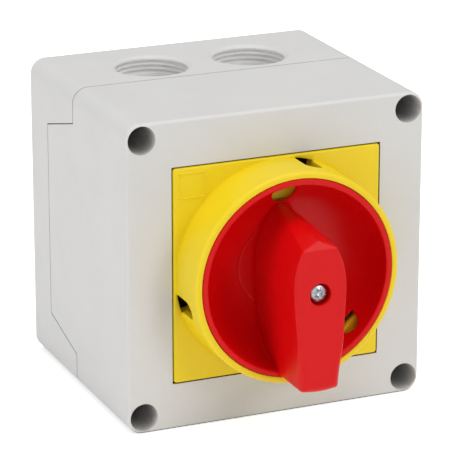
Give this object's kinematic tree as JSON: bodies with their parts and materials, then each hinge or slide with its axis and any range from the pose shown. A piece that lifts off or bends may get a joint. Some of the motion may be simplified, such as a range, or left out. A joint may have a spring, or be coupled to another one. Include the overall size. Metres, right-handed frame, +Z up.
{
  "type": "rotary isolator switch",
  "caption": "Wall-mounted rotary isolator switch: square grey enclosure, yellow front plate with collar, red padlockable dish handle turning a cam switch.",
  "frame": {"origin": "middle of the wall face of the enclosure", "axes": "+Z up, +X to the right seen from the front, the front and the handle face -Y"},
  "size_m": [0.1, 0.1181, 0.1],
  "materials": {
    "grey_plastic": "fine matt moulding",
    "yellow_plastic": "satin moulding",
    "red_plastic": "satin moulding",
    "gasket_rubber": "soft matt",
    "zinc_steel": "bright zinc plated",
    "shaft_steel": "drawn bar",
    "deck_plastic": "black moulding",
    "cam_plastic": "natural nylon",
    "contact_brass": "satin",
    "spring_steel": "bright wire"
  },
  "bodies": {
    "enclosure": {"base_shell": "grey_plastic", "cover": "grey_plastic", "cover_gasket": "gasket_rubber", "cover_screws": "zinc_steel", "front_plate": "yellow_plastic", "plate_screws": "zinc_steel", "shaft_seal": "gasket_rubber", "switch_foot": "deck_plastic", "foot_screws": "zinc_steel", "rear_deck": "deck_plastic", "front_deck": "deck_plastic", "fixed_contacts": "contact_brass", "terminal_screws": "zinc_steel", "detent_housing": "deck_plastic", "detent_lid": "deck_plastic", "tie_bolts": "zinc_steel", "earth_terminal": "contact_brass", "neutral_terminal": "contact_brass", "block_screws": "zinc_steel", "rear_top_spring": "spring_steel", "rear_bottom_spring": "spring_steel", "front_top_spring": "spring_steel", "front_bottom_spring": "spring_steel", "top_detent_spring": "spring_steel", "bottom_detent_spring": "spring_steel"},
    "rotor": {"handle": "red_plastic", "handle_screw": "zinc_steel", "shaft": "shaft_steel", "rear_cam": "cam_plastic", "front_cam": "cam_plastic", "detent_wheel": "cam_plastic"},
    "rear_top_contact": {"rear_top_plunger": "cam_plastic", "rear_top_bridge": "contact_brass"},
    "rear_bottom_contact": {"rear_bottom_plunger": "cam_plastic", "rear_bottom_bridge": "contact_brass"},
    "front_top_contact": {"front_top_plunger": "cam_plastic", "front_top_bridge": "contact_brass"},
    "front_bottom_contact": {"front_bottom_plunger": "cam_plastic", "front_bottom_bridge": "contact_brass"},
    "top_detent": {"top_detent_plunger": "cam_plastic"},
    "bottom_detent": {"bottom_detent_plunger": "cam_plastic"}
  },
  "joints": [
    {"name": "handle_turn", "type": "hinge", "parent": "enclosure", "child": "rotor", "pos_m": [0, 0, 0], "axis": [0, 1, 0], "range_deg": [0, 90]},
    {"name": "rear_top_travel", "type": "slide", "parent": "enclosure", "child": "rear_top_contact", "axis": [0, 0, -1], "range_m": [0, 0.00181], "deforming": ["rear_top_spring"]},
    {"name": "rear_bottom_travel", "type": "slide", "parent": "enclosure", "child": "rear_bottom_contact", "axis": [0, 0, 1], "range_m": [0, 0.00181], "deforming": ["rear_bottom_spring"]},
    {"name": "front_top_travel", "type": "slide", "parent": "enclosure", "child": "front_top_contact", "axis": [0, 0, -1], "range_m": [0, 0.00181], "deforming": ["front_top_spring"]},
    {"name": "front_bottom_travel", "type": "slide", "parent": "enclosure", "child": "front_bottom_contact", "axis": [0, 0, 1], "range_m": [0, 0.00181], "deforming": ["front_bottom_spring"]},
    {"name": "top_detent_travel", "type": "slide", "parent": "enclosure", "child": "top_detent", "axis": [0, 0, -1], "range_m": [0, 0.0011], "stiffness_N_per_m": 2, "springref_m": 0.004, "deforming": ["top_detent_spring"]},
    {"name": "bottom_detent_travel", "type": "slide", "parent": "enclosure", "child": "bottom_detent", "axis": [0, 0, 1], "range_m": [0, 0.0011], "stiffness_N_per_m": 2, "springref_m": 0.004, "deforming": ["bottom_detent_spring"]}
  ],
  "couplings": [
    {"joint": "rear_top_travel", "follows": "handle_turn", "m_per_rad": 0.0011459},
    {"joint": "rear_bottom_travel", "follows": "handle_turn", "m_per_rad": 0.0011459},
    {"joint": "front_top_travel", "follows": "handle_turn", "m_per_rad": 0.0011459},
    {"joint": "front_bottom_travel", "follows": "handle_turn", "m_per_rad": 0.0011459}
  ]
}
